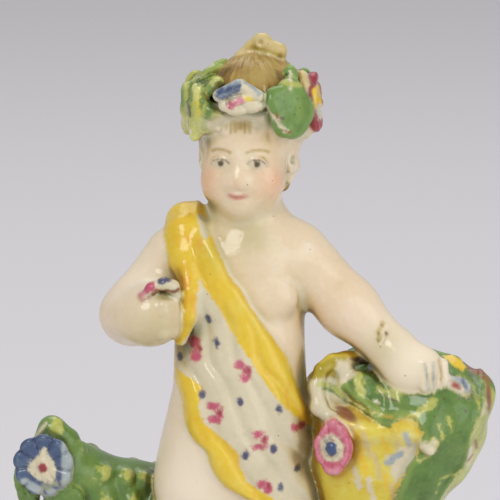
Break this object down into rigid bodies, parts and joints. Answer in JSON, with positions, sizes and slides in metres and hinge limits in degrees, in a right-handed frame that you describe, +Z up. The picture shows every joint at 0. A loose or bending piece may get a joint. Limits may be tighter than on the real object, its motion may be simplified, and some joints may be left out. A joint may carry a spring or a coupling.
{
  "type": "ceramic figure",
  "caption": "Pearlware putto figure with wreath, spotted drape and cornucopia on a low plinth, for display on a shelf or mantel.",
  "frame": {"origin": "centre of the plinth's underside", "axes": "+Z up along the figure's height, -Y out of the figure's front, +X to the viewer's right"},
  "size_m": [0.1012, 0.062, 0.1683],
  "materials": {
    "glazed_pearlware": "gloss lead glaze over painted enamel colours"
  },
  "bodies": {
    "root": {"pearlware_figure": "glazed_pearlware"}
  },
  "joints": []
}
